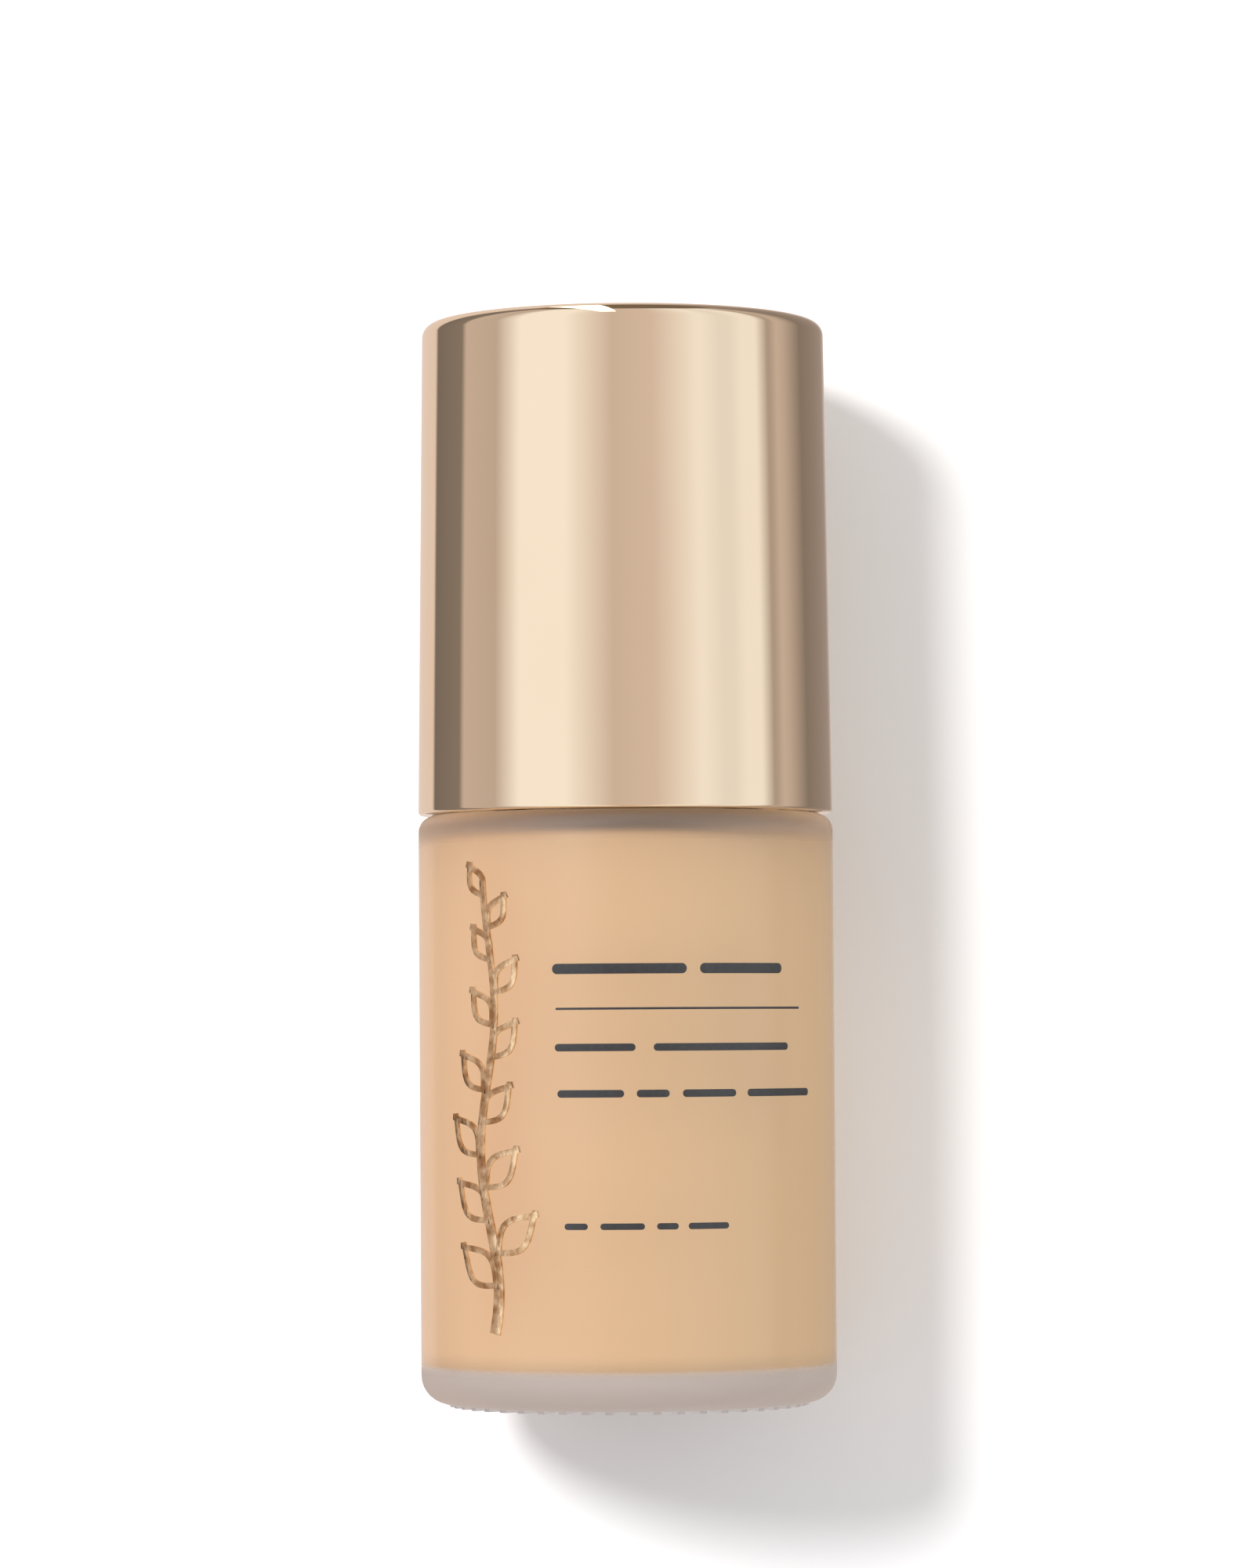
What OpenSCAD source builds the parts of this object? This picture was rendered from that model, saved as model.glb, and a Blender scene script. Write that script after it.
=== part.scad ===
// Pump bottle for liquid foundation: a frosted glass bottle, a screw-on treatment pump
// and a tall metallised overcap. Millimetres, +Z up, origin on the axis at the surface
// that the bottle stands on. The pump's spout points along -Y.

/* [Glass bottle] */
// Outer diameter of the bottle
bottle_d = 37; // [36.6:0.1:38]
// Height of the shoulder above the surface
shoulder_z = 52.5; // [52:0.25:54]
// Thickness of the side wall
glass_wall = 4.1; // [3.8:0.1:4.4]
// Height of the cavity's floor above the surface
cavity_floor_z = 3.2; // [3:0.1:4.5]
// Radius of the cavity's bottom corner
cavity_corner_r = 6.5; // [5:0.5:7]
// Radius of the bottle's bottom edge
base_edge_r = 2.5; // [2:0.1:3]
// Radius of the bottle's shoulder edge
shoulder_edge_r = 2.0; // [1.6:0.1:2.4]
// Number of knurl bars on the bearing ring
knurl_count = 48; // [36:4:60]

/* [Neck and thread] */
// Diameter of the neck at the thread's root
neck_d = 17.8; // [17.6:0.1:17.9]
// Diameter over the neck's thread
thread_d = 19.8; // [19.6:0.1:19.9]
// Diameter of the bore through the neck
neck_bore_d = 12; // [11:0.5:12.5]
// Height of the neck above the shoulder
neck_h = 11.5; // [11.5:0.25:12]
// Rise of the thread in one turn
thread_pitch = 3.175; // [3.1:0.025:3.25]
// Length of the thread in turns
thread_turns = 1.25; // [1:0.05:1.25]

/* [Overcap] */
// Height of the overcap
overcap_h = 43.8; // [43.5:0.1:46]
// Outer diameter of the overcap at its top edge
overcap_top_d = 35.9; // [35.8:0.1:36.6]
// Wall thickness of the overcap's shell
overcap_wall = 1.3; // [1.2:0.05:1.4]
// Radius of the overcap's top edge
overcap_edge_r = 1.2; // [1:0.1:1.6]
// Height of the liner's grip sleeve
liner_h = 17.8; // [16:0.2:18]
// Number of crush ribs in the grip sleeve, and of webs behind it
liner_ribs = 12; // [6:1:16]

/* [Pump] */
// Outer diameter of the collar's shell
collar_d = 25; // [25:0.1:25.2]
// Travel of the actuator
stroke = 5; // [4:0.25:5]
// Bore of the pump's chamber
chamber_d = 6.8; // [6.6:0.1:7]
// Outer diameter of the stem
stem_d = 4.4; // [4.2:0.1:4.5]
// Outer diameter of the dip tube
dip_tube_d = 3.2; // [3:0.1:3.2]
// Diameter of the actuator's head at its top
head_d = 14; // [13:0.25:14]
// Distance from the axis to the spout's tip
spout_reach = 10.6; // [9.6:0.1:11]
// Diameter of the check ball
ball_d = 3; // [2.9:0.05:3]
// Turns of the return spring
spring_turns = 8; // [6:1:9]

/* [Hidden] */
$fn = 96;

// clearances
slip = 0.05;    // between pieces that run on each other
glue = 0.02;    // between pieces that are pressed or glued together
over = 0.5;     // how far a cutting shape runs past the surface it cuts

// bottle
bottle_r = bottle_d / 2;
bearing_z = 0.25;                           // the knurl bars are this deep
bearing_in_r = 13.4;                        // inner edge of the bearing ring
pushup_z = 1.05;                            // ceiling of the recess under the base
pushup_r = 12.8;
cavity_r = bottle_r - glass_wall;
cavity_top_z = shoulder_z - 2.2;
cavity_shoulder_r = 1.2;
neck_r = neck_d / 2;
land_z = shoulder_z + neck_h;               // top of the neck
fill_gap = 0.03;                            // between the liquid's surface and the glass
fill_centre_z = cavity_top_z - 5.1;         // free surface at the axis
fill_wall_z = cavity_top_z - 0.2;           // and where it clings to the wall

// neck thread: male on the glass, female in the closure half a pitch below it
thread_r = thread_d / 2;
thread_start_z = shoulder_z + 4.5;
thread_root_w = 2.2;
thread_crest_w = 1.0;
nut_root_r = thread_r + 0.35;
nut_crest_r = neck_r + 0.25;
nut_root_w = 1.5;
nut_crest_w = 0.6;
thread_bite = 0.35;                         // how far a ridge is sunk into its wall
steps_per_turn = 36;
fade_steps = 4;                             // rings over which a ridge rises at its ends

// pump, from the neck's land upwards
gasket_z = land_z + 0.02;
gasket_h = 1.0;
flange_z = gasket_z + gasket_h;
flange_h = 1.3;
flange_r = 8.7;
flange_top_z = flange_z + flange_h;
chaplet_r = 6.2;
chaplet_h = 2.0;
turret_r = 3.9;
turret_top_z = flange_top_z + 3.5;
collar_r = collar_d / 2;
collar_shell_t = 0.6;
closure_r = collar_r - collar_shell_t;
closure_z = shoulder_z + 0.6;
closure_top_z = flange_top_z + 1.4;
collar_z = shoulder_z + 0.5;
collar_top_z = closure_top_z + 0.5;
closure_hole_r = chaplet_r + 0.2;

// chamber and valve, downwards from the flange
chamber_r = chamber_d / 2;
barrel_r = chamber_r + 1.2;
ledge_z = flange_z - 16.8;                  // the spring stands on this
cage_z = ledge_z - 0.5;                     // underside of the ball's cage ribs
seat_z = cage_z - 3.4;                      // the ball's conical seat starts here
port_r = 1.0;
ball_r = ball_d / 2;
pocket_r = ball_r + 0.3;
ball_z = seat_z + ball_r * sqrt(2) - port_r + 0.02;   // centre, on a 45 degree cone
barrel_z = seat_z - 0.1;
tail_z = barrel_z - 7;
tail_r = 2.6;
socket_top_z = barrel_z - 1;
tube_r = dip_tube_d / 2;
tube_in_r = tube_r - 0.5;
tube_z = cavity_floor_z + 1.2;
tube_top_z = socket_top_z - 0.1;

// plunger
stem_r = stem_d / 2;
stem_in_r = 1.2;
spring_len = 11.5;
rod_flange_z = ledge_z + spring_len;
rod_flange_h = 0.7;
rod_flange_r = chamber_r - 0.5;
rod_r = 1.7;
rod_tip_r = stem_in_r - glue;               // the end that is pressed into the stem
rod_tip_h = 2;
piston_z = rod_flange_z + rod_flange_h + slip;
piston_h = 3.4;
piston_lip_h = 0.8;
piston_slack = 0.6;                         // the piston slides this far on its rod
stem_z = piston_z + piston_h + piston_slack + slip;
seal_h = 0.45;
plug_z = stem_z + 0.9;                      // underside of the chaplet's plug

// actuator
head_r = head_d / 2;
skirt_r = head_r + 0.4;
skirt_z = collar_top_z + stroke + 0.5;
head_top_z = skirt_z + 14.4;
head_edge_r = 1.0;
dish_depth = 0.7;
cover_wall = 1.1;
cover_ceiling_z = head_top_z - dish_depth - cover_wall;
cover_in_r = head_r - cover_wall;
boss_z = turret_top_z + stroke + 0.2;
boss_r = 3.6;
stem_top_z = boss_z + 4;
spout_z = head_top_z - 5.4;
spout_r = 2.2;
spout_channel_r = 0.9;
spout_shank_r = 1.8;
spout_shank_y = 2.6;                        // distances from the axis
spout_step_y = 5.2;
spout_block_r = 2.5;

// spring
wire_r = 0.25;
coil_r = rod_flange_r - wire_r - 0.1;
spring_steps = 24;                          // rings in one turn

// overcap
overcap_z = shoulder_z + 0.2;
overcap_top_z = overcap_z + overcap_h;
overcap_bottom_r = bottle_r;
overcap_top_r = overcap_top_d / 2;
lip_r = 0.3;
liner_z = overcap_z + 0.7;
liner_top_z = liner_z + liner_h;
liner_out_r = overcap_top_r - overcap_wall + 0.25;
sleeve_r = collar_r + 0.25;
sleeve_wall = 0.9;
crush_rib_r = 0.4;

// Half outline of a turned block of radius r, with its bottom and top outer edges rounded.
module rounded_half(r, z0, z1, bottom_r, top_r) {
    difference() {
        translate([0, z0]) square([r, z1 - z0]);
        translate([r - bottom_r, z0 + bottom_r]) mirror([0, 1]) edge_waste(bottom_r);
        translate([r - top_r, z1 - top_r]) edge_waste(top_r);
    }
}

// What rounding takes off a square corner whose arc is centred on the origin.
module edge_waste(r) {
    difference() {
        square(r + over);
        circle(r);
    }
}

// Turns a half outline in (radius, height) about the axis.
module turned() {
    rotate_extrude() children();
}

// An upright tube between two heights.
module tube(r_out, r_in, z0, z1) {
    translate([0, 0, z0]) difference() {
        cylinder(r = r_out, h = z1 - z0);
        translate([0, 0, -over]) cylinder(r = r_in, h = z1 - z0 + 2 * over);
    }
}

// An upright cylinder between two heights.
module post(r, z0, z1) {
    translate([0, 0, z0]) cylinder(r = r, h = z1 - z0);
}

// A closed solid through rings of points. Each ring runs clockwise in (radius, height).
module swept(rings) {
    n = len(rings[0]);
    last = len(rings) - 1;
    sides = [for (i = [0:last - 1], k = [0:n - 1])
        let (a = i * n + k, b = i * n + (k + 1) % n)
        each [[a, a + n, b + n], [a, b + n, b]]];
    start_cap = [for (k = [1:n - 2]) [0, k, k + 1]];
    end_cap = [for (k = [1:n - 2]) [last * n, last * n + k + 1, last * n + k]];
    polyhedron(points = [for (ring = rings) each ring], faces = concat(sides, start_cap, end_cap));
}

function around(r, a, z) = [r * cos(a), r * sin(a), z];

// A helical ridge that starts at z0 and fades in and out. It stands outwards from root_r
// when crest_r is larger, and inwards when it is smaller.
module thread_ridge(root_r, crest_r, root_w, crest_w, z0) {
    outwards = crest_r > root_r;
    sunk_r = root_r + (outwards ? -thread_bite : thread_bite);
    count = round(thread_turns * steps_per_turn);
    rings = [for (i = [0:count])
        let (a = i * 360 / steps_per_turn,
             z = z0 + thread_pitch * i / steps_per_turn,
             rise = min(1, (min(i, count - i) + 0.3) / fade_steps),
             top_r = root_r + (crest_r - root_r) * rise,
             in_r = outwards ? sunk_r : top_r,
             out_r = outwards ? top_r : sunk_r,
             in_w = (outwards ? root_w : crest_w) / 2,
             out_w = (outwards ? crest_w : root_w) / 2)
        [around(in_r, a, z - in_w), around(in_r, a, z + in_w),
         around(out_r, a, z + out_w), around(out_r, a, z - out_w)]];
    swept(rings);
}

// The space inside the bottle below its neck, smaller all round by gap.
module cavity(gap) {
    turned() rounded_half(cavity_r - gap, cavity_floor_z + gap, cavity_top_z - gap,
        cavity_corner_r - gap, cavity_shoulder_r);
}

module glass_bottle() {
    lip_edge_r = 0.7;
    root_fillet_r = 0.8;
    bar_w = 0.75;
    color([0.80, 0.77, 0.75, 0.55]) difference() {
        union() {
            turned() {
                rounded_half(bottle_r, bearing_z, shoulder_z, base_edge_r, shoulder_edge_r);
                rounded_half(neck_r, shoulder_z - 1, land_z, 0.1, lip_edge_r);
                translate([neck_r, shoulder_z]) difference() {
                    translate([-0.1, -0.1]) square(root_fillet_r + 0.1);
                    translate([root_fillet_r, root_fillet_r]) circle(root_fillet_r);
                }
            }
            thread_ridge(neck_r, thread_r, thread_root_w, thread_crest_w, thread_start_z);
            for (i = [0:knurl_count - 1])
                rotate(i * 360 / knurl_count)
                    translate([bearing_in_r + 0.6, -bar_w / 2, 0]) cube([1.9, bar_w, bearing_z + 0.3]);
        }
        cavity(0);
        post(neck_bore_d / 2, cavity_top_z - 1, land_z + over);
        turned() polygon([
            [0, -over], [bearing_in_r, -over], [bearing_in_r, bearing_z],
            [pushup_r, pushup_z], [0, pushup_z]
        ]);
    }
}

// The liquid, with its free surface hollowed where it clings to the wall, and clear of the pump.
module foundation_fill() {
    edge_r = cavity_r - fill_gap;
    sag = fill_wall_z - fill_centre_z;
    surface_r = (edge_r * edge_r + sag * sag) / (2 * sag);
    clear = 0.3;
    color([0.87, 0.71, 0.56]) difference() {
        cavity(fill_gap);
        translate([0, 0, fill_centre_z + surface_r]) sphere(r = surface_r, $fn = 200);
        post(tube_r + clear, 0, tail_z);
        post(tail_r + clear, tail_z - clear, shoulder_z);
        post(barrel_r + clear, barrel_z - clear, shoulder_z);
    }
}

module base_shade_label() {
    label_t = 0.12;
    color([0.93, 0.91, 0.87]) translate([0, 0, pushup_z - label_t - glue]) cylinder(r = 11.5, h = label_t);
}

module pump_housing() {
    rib_w = 0.6;
    cage_r = 0.8;                                   // three ribs keep the ball below the spring
    color([0.93, 0.93, 0.91]) union() {
        difference() {
            union() {
                post(flange_r, flange_z, flange_top_z);
                post(barrel_r, barrel_z, flange_z + 0.1);
                post(tail_r, tail_z, barrel_z + 0.1);
            }
            post(chamber_r, ledge_z, flange_top_z + over);
            post(pocket_r, seat_z + pocket_r - port_r, ledge_z + over);
            translate([0, 0, seat_z])
                cylinder(r1 = port_r, r2 = pocket_r, h = pocket_r - port_r);
            post(port_r, socket_top_z - over, seat_z + over);
            post(tube_r + glue, tail_z - over, socket_top_z);
        }
        for (i = [0:2])
            rotate(i * 120) translate([cage_r, -rib_w / 2, cage_z])
                cube([pocket_r - cage_r + 0.3, rib_w, ledge_z - cage_z]);
    }
}

module chaplet() {
    color([0.95, 0.94, 0.92]) difference() {
        union() {
            post(chamber_r - glue, plug_z, flange_top_z + 0.1);
            post(chaplet_r, flange_top_z, flange_top_z + chaplet_h);
            post(turret_r, flange_top_z + 1, turret_top_z);
        }
        post(stem_r + slip, plug_z - over, turret_top_z + over);
    }
}

module chaplet_seal() {
    color([0.88, 0.88, 0.86]) tube(chamber_r - glue, stem_r + slip, plug_z - seal_h, plug_z);
}

module neck_gasket() {
    color([0.90, 0.90, 0.88]) tube(flange_r - 0.2, neck_bore_d / 2 + 0.2, gasket_z, flange_z);
}

// One closed helix of round wire whose end coils lie flat.
module return_spring() {
    sides = 8;
    count = spring_turns * spring_steps;
    low = ledge_z + wire_r + glue;
    travel = spring_len - 2 * wire_r - 2 * glue;
    dead = 1;                                       // turns that lie flat at each end
    live = spring_turns - 2 * dead;
    flat_rise = 2.2 * wire_r;
    function height(t) =
        t < dead ? low + flat_rise * t :
        t > dead + live ? low + travel - flat_rise * (spring_turns - t) :
        low + flat_rise + (travel - 2 * flat_rise) * (t - dead) / live;
    color([0.78, 0.78, 0.80]) swept([for (i = [0:count])
        let (t = i / spring_steps)
        [for (k = [0:sides - 1])
            let (b = -k * 360 / sides)
            around(coil_r + wire_r * cos(b), t * 360, height(t) + wire_r * sin(b))]]);
}

module dip_tube() {
    bevel = 30;
    color([0.92, 0.93, 0.92]) difference() {
        tube(tube_r, tube_in_r, tube_z, tube_top_z);
        translate([0, 0, tube_z + 0.95]) rotate([bevel, 0, 0]) translate([-4, -4, -6]) cube([8, 8, 6]);
    }
}

module threaded_closure() {
    color([0.94, 0.93, 0.90]) union() {
        difference() {
            post(closure_r - glue, closure_z, closure_top_z);
            post(nut_root_r, closure_z - over, flange_top_z + 0.1);
            post(closure_hole_r, flange_top_z, closure_top_z + over);
        }
        thread_ridge(nut_root_r, nut_crest_r, nut_root_w, nut_crest_w, thread_start_z - thread_pitch / 2);
    }
}

module collar_shell() {
    edge_r = 0.5;
    color([0.85, 0.71, 0.53]) turned() difference() {
        rounded_half(collar_r, collar_z, collar_top_z, 0.15, edge_r);
        translate([0, collar_z - over]) square([closure_r, closure_top_z - collar_z + over]);
        translate([0, closure_top_z - over]) square([closure_hole_r + 0.3, 2]);
    }
}

// A sleeve with a sealing lip at each end.
module piston() {
    waist_r = chamber_r - 0.4;
    color([0.90, 0.90, 0.92]) difference() {
        union() {
            post(waist_r, piston_z, piston_z + piston_h);
            post(chamber_r - slip, piston_z, piston_z + piston_lip_h);
            post(chamber_r - slip, piston_z + piston_h - piston_lip_h, piston_z + piston_h);
        }
        post(rod_r + slip, piston_z - over, piston_z + piston_h + over);
    }
}

// The spring pushes its flange up, and its tip is pressed into the stem. The flutes carry
// the liquid past the piston into the stem.
module piston_rod() {
    flute_w = 0.6;
    flute_x = 0.7;
    pilot_r = coil_r - wire_r - 0.3;                // stands in the top of the spring
    color([0.92, 0.92, 0.93]) difference() {
        union() {
            post(pilot_r, rod_flange_z - 1.2, rod_flange_z + 0.1);
            post(rod_flange_r, rod_flange_z, rod_flange_z + rod_flange_h);
            post(rod_r, rod_flange_z, stem_z - glue);
            post(rod_tip_r, rod_flange_z, stem_z + rod_tip_h);
        }
        for (i = [0:3])
            rotate(i * 90)
                translate([flute_x, -flute_w / 2, rod_flange_z + rod_flange_h + 0.3])
                    cube([rod_r, flute_w, stem_z - rod_flange_z]);
    }
}

module pump_stem() {
    color([0.95, 0.95, 0.94]) tube(stem_r, stem_in_r, stem_z, stem_top_z);
}

// A piece whose own axis is the spout's: up in it is -Y, and zero is the pump's axis.
module along_spout() {
    translate([0, 0, spout_z]) rotate([90, 0, 0]) children();
}

// It holds the stem and the spout, and turns the liquid's path through a right angle.
module actuator_core() {
    plate_h = 1.2;
    color([0.95, 0.95, 0.93]) difference() {
        union() {
            post(boss_r, boss_z, cover_ceiling_z - glue);
            post(cover_in_r - glue, cover_ceiling_z - plate_h, cover_ceiling_z - glue);
            along_spout() post(spout_block_r, 0, spout_step_y);
        }
        post(stem_r + slip, boss_z - over, stem_top_z + 0.1);
        post(spout_channel_r, stem_top_z, spout_z);
        along_spout() {
            post(spout_channel_r, 0, spout_step_y + over);
            post(spout_shank_r + glue, spout_shank_y, spout_step_y + over);
        }
    }
}

// A slightly flared cup, dished on top for the fingertip, with a window for the spout.
module actuator_cover() {
    dish_r = (pow(head_r - head_edge_r, 2) + pow(dish_depth, 2)) / (2 * dish_depth);
    edge_z = head_top_z - head_edge_r;
    skirt_in_r = skirt_r - cover_wall;
    color([0.96, 0.95, 0.93]) difference() {
        turned() difference() {
            union() {
                polygon([[0, skirt_z], [skirt_r, skirt_z], [head_r, edge_z], [0, edge_z]]);
                rounded_half(head_r, edge_z - 0.1, head_top_z, 0.01, head_edge_r);
            }
            polygon([
                [-1, skirt_z - over], [skirt_in_r, skirt_z - over], [skirt_in_r, skirt_z],
                [cover_in_r, cover_ceiling_z - 2], [cover_in_r, cover_ceiling_z], [-1, cover_ceiling_z]
            ]);
        }
        translate([0, 0, head_top_z - dish_depth + dish_r]) sphere(r = dish_r, $fn = 200);
        along_spout() post(spout_r + glue, 0, head_r + 2);
    }
}

// Pushed through the cover's window into the core. Its step stops it.
module spout() {
    tip_edge_r = 0.5;
    color([0.96, 0.95, 0.93]) along_spout() difference() {
        union() {
            post(spout_shank_r, spout_shank_y + glue, spout_step_y + 0.2);
            turned() rounded_half(spout_r, spout_step_y + glue, spout_reach, 0.1, tip_edge_r);
        }
        post(spout_channel_r, 0, spout_reach + over);
    }
}

module check_ball() {
    color([0.75, 0.76, 0.78]) translate([0, 0, ball_z]) sphere(r = ball_r);
}

module overcap_shell() {
    in_bottom_r = overcap_bottom_r - overcap_wall;
    in_top_r = overcap_top_r - overcap_wall;
    ceiling_z = overcap_top_z - overcap_wall;
    edge_z = overcap_top_z - overcap_edge_r;
    in_edge_r = 1.0;
    color([0.86, 0.72, 0.55]) turned() difference() {
        union() {
            polygon([
                [0, overcap_z], [overcap_bottom_r - lip_r, overcap_z],
                [overcap_bottom_r, overcap_z + lip_r], [overcap_top_r, edge_z],
                [overcap_top_r - overcap_edge_r, overcap_top_z], [0, overcap_top_z]
            ]);
            translate([overcap_top_r - overcap_edge_r, edge_z]) circle(overcap_edge_r);
            translate([overcap_bottom_r - lip_r, overcap_z + lip_r]) circle(lip_r);
        }
        polygon([
            [-1, overcap_z - over], [in_bottom_r, overcap_z - over], [in_bottom_r, overcap_z],
            [in_top_r, ceiling_z - in_edge_r], [in_top_r - in_edge_r, ceiling_z], [-1, ceiling_z]
        ]);
    }
}

// An inner sleeve that grips the collar, webbed to an outer wall that is glued in the shell.
module overcap_liner() {
    flange_t = 1.0;
    web_t = 0.8;
    color([0.93, 0.92, 0.90]) union() {
        tube(liner_out_r, liner_out_r - 1, liner_z, liner_top_z);
        tube(sleeve_r + sleeve_wall, sleeve_r, liner_z, liner_top_z);
        tube(liner_out_r, sleeve_r, liner_top_z - 0.1, liner_top_z + flange_t);
        for (i = [0:liner_ribs - 1])
            rotate(i * 360 / liner_ribs) {
                translate([sleeve_r + sleeve_wall - 0.1, -web_t / 2, liner_z + 1.5])
                    cube([liner_out_r - sleeve_r - sleeve_wall - 0.8, web_t, liner_h - 1.5]);
                translate([sleeve_r + crush_rib_r - 0.2, 0, liner_z + 1])
                    cylinder(r = crush_rib_r, h = liner_h - 2);
            }
    }
}

glass_bottle();
foundation_fill();
base_shade_label();
pump_housing();
chaplet();
chaplet_seal();
neck_gasket();
return_spring();
dip_tube();
threaded_closure();
collar_shell();
piston();
piston_rod();
pump_stem();
actuator_core();
actuator_cover();
spout();
check_ball();
overcap_shell();
overcap_liner();
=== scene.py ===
# %% [markdown]
# # A pump bottle of liquid foundation
#
# The object is a glass bottle with a screw-on pump and a tall metallised overcap. A CAD model
# already holds its sizes and its moving parts. This lesson dresses that model: it rebuilds the
# pieces that need a finer surface, gives every piece a material, and lights the result.

from math import atan2, cos, degrees, hypot, pi, radians, sin, tau

import bmesh
import bpy
from mathutils import Matrix, Vector


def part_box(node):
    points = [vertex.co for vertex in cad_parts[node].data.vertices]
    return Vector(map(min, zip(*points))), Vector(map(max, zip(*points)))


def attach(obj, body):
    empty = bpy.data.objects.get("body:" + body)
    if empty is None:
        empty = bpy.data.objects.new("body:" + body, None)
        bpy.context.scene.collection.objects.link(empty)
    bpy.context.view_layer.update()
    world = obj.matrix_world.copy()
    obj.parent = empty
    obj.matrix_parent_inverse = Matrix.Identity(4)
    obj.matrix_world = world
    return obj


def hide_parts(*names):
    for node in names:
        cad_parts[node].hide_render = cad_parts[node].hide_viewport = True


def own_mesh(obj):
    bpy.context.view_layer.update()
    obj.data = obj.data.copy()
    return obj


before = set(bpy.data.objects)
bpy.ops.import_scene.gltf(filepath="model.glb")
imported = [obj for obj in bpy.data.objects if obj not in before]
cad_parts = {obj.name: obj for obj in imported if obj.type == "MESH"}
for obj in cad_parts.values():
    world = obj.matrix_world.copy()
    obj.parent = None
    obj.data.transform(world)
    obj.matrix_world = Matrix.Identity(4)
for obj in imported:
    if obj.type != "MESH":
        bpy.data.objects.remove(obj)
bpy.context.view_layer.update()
MM = 0.001

# %% [markdown]
# ## Two helpers for materials
#
# Colours are written as sRGB hex values, as a colour picker gives them. Blender's shaders work in
# linear light, so one function converts them. A second one adds a node, sets it and links it, so
# that a material reads like a list of what it is made of.


# %% Colour and node helpers
def linear(hex_colour):
    channels = [int(hex_colour[i:i + 2], 16) / 255 for i in (1, 3, 5)]
    return [c / 12.92 if c <= 0.04045 else ((c + 0.055) / 1.055) ** 2.4 for c in channels] + [1]


def node(tree, kind, inputs=None, **settings):
    """Adds a node. A value in inputs is set on that socket, and another node's output is linked."""
    made = tree.nodes.new("ShaderNode" + kind)
    for name, value in settings.items():
        setattr(made, name, value)
    for name, value in (inputs or {}).items():
        if isinstance(value, bpy.types.NodeSocket):
            tree.links.new(value, made.inputs[name])
        else:
            made.inputs[name].default_value = value
    return made


def new_material(name):
    made = bpy.data.materials.new(name)
    made.use_nodes = True
    made.node_tree.nodes.clear()
    return made, made.node_tree


# %% [markdown]
# ## The camera
#
# The bottle is seen from the front, from a little over half a metre, through a long lens. The eye
# is a third of the way up the bottle, so the overcap's lip curves up and the base curves down. It
# looks slightly upwards and is turned by a third of a degree, as a camera on a stand often is.

# %% Camera
eye = Vector((0.15, -557.5, 32.6)) * MM
look_up_deg = 2.33
roll_deg = -0.377

camera_data = bpy.data.cameras.new("camera")
camera_data.sensor_width = 36
camera_data.lens = 143.3
camera_data.clip_start = 0.01
camera = bpy.data.objects.new("camera", camera_data)
upright = Matrix.Rotation(radians(90 + look_up_deg), 4, "X")
camera.matrix_world = Matrix.Translation(eye) @ upright @ Matrix.Rotation(radians(roll_deg), 4, "Z")
bpy.context.scene.collection.objects.link(camera)
bpy.context.scene.camera = camera
bpy.context.scene.view_settings.view_transform = "Standard"
print("the camera is", round(eye.length / MM), "mm from the bottle's foot")

# %% [markdown]
# ## The surface behind the bottle
#
# The bottle lies on its back on white card. In the bottle's own frame that card stands upright
# and touches the back of the glass. It is a plain plane. Its rear face is clear, so that the
# bottle can also be looked at from behind.

# %% White card
bottle_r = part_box("glass_bottle")[1].x
card_half = 1.5
card_gap = 0.05 * MM

bm = bmesh.new()
bmesh.ops.create_grid(bm, x_segments=1, y_segments=1, size=card_half)
bmesh.ops.rotate(bm, verts=bm.verts, matrix=Matrix.Rotation(radians(90), 3, "X"))
bmesh.ops.translate(bm, verts=bm.verts, vec=(0, bottle_r + card_gap, 0))
card_mesh = bpy.data.meshes.new("white_card")
bm.to_mesh(card_mesh)
bm.free()
card = bpy.data.objects.new("white_card", card_mesh)
bpy.context.scene.collection.objects.link(card)
card.visible_shadow = False
card.visible_glossy = False
card.visible_diffuse = False

paper, tree = new_material("matt_white_card")
front = node(tree, "BsdfDiffuse", {"Color": linear("#F6F6F5"), "Roughness": 0.5})
clear = node(tree, "BsdfTransparent")
rear = node(tree, "NewGeometry").outputs["Backfacing"]
both = node(tree, "MixShader", {0: rear, 1: front.outputs["BSDF"], 2: clear.outputs["BSDF"]})
node(tree, "OutputMaterial", {"Surface": both.outputs["Shader"]})
card_mesh.materials.append(paper)

# %% [markdown]
# ## Light
#
# The light is soft and plain. An even white room gives most of it. It is somewhat brighter from
# above and from behind, and its white is a little pinker on the left. One lamp, above and to the
# left of the viewer, throws the shadow to the lower right. The shadow's length gives the lamp's
# direction, and the shadow's soft edge gives the lamp's size, about thirteen degrees across. The
# card takes the lamp's full strength, so that it washes out to white, and the bottle takes less,
# as if a scrim stood before it. Light linking does that with two lamps in one place. Polished
# pieces don't mirror them: the panels that come next stand for them there.

# %% Room and lamp
room_strength = 0.95
room_slope = (-0.05, 0.15, 0.3)  # how its strength rises along X, Y and Z
lamp_strengths = {"card_lamp": 2.3, "bottle_lamp": 0.85}
lamp_aim = Vector((0.56, 1, -0.46))

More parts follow.
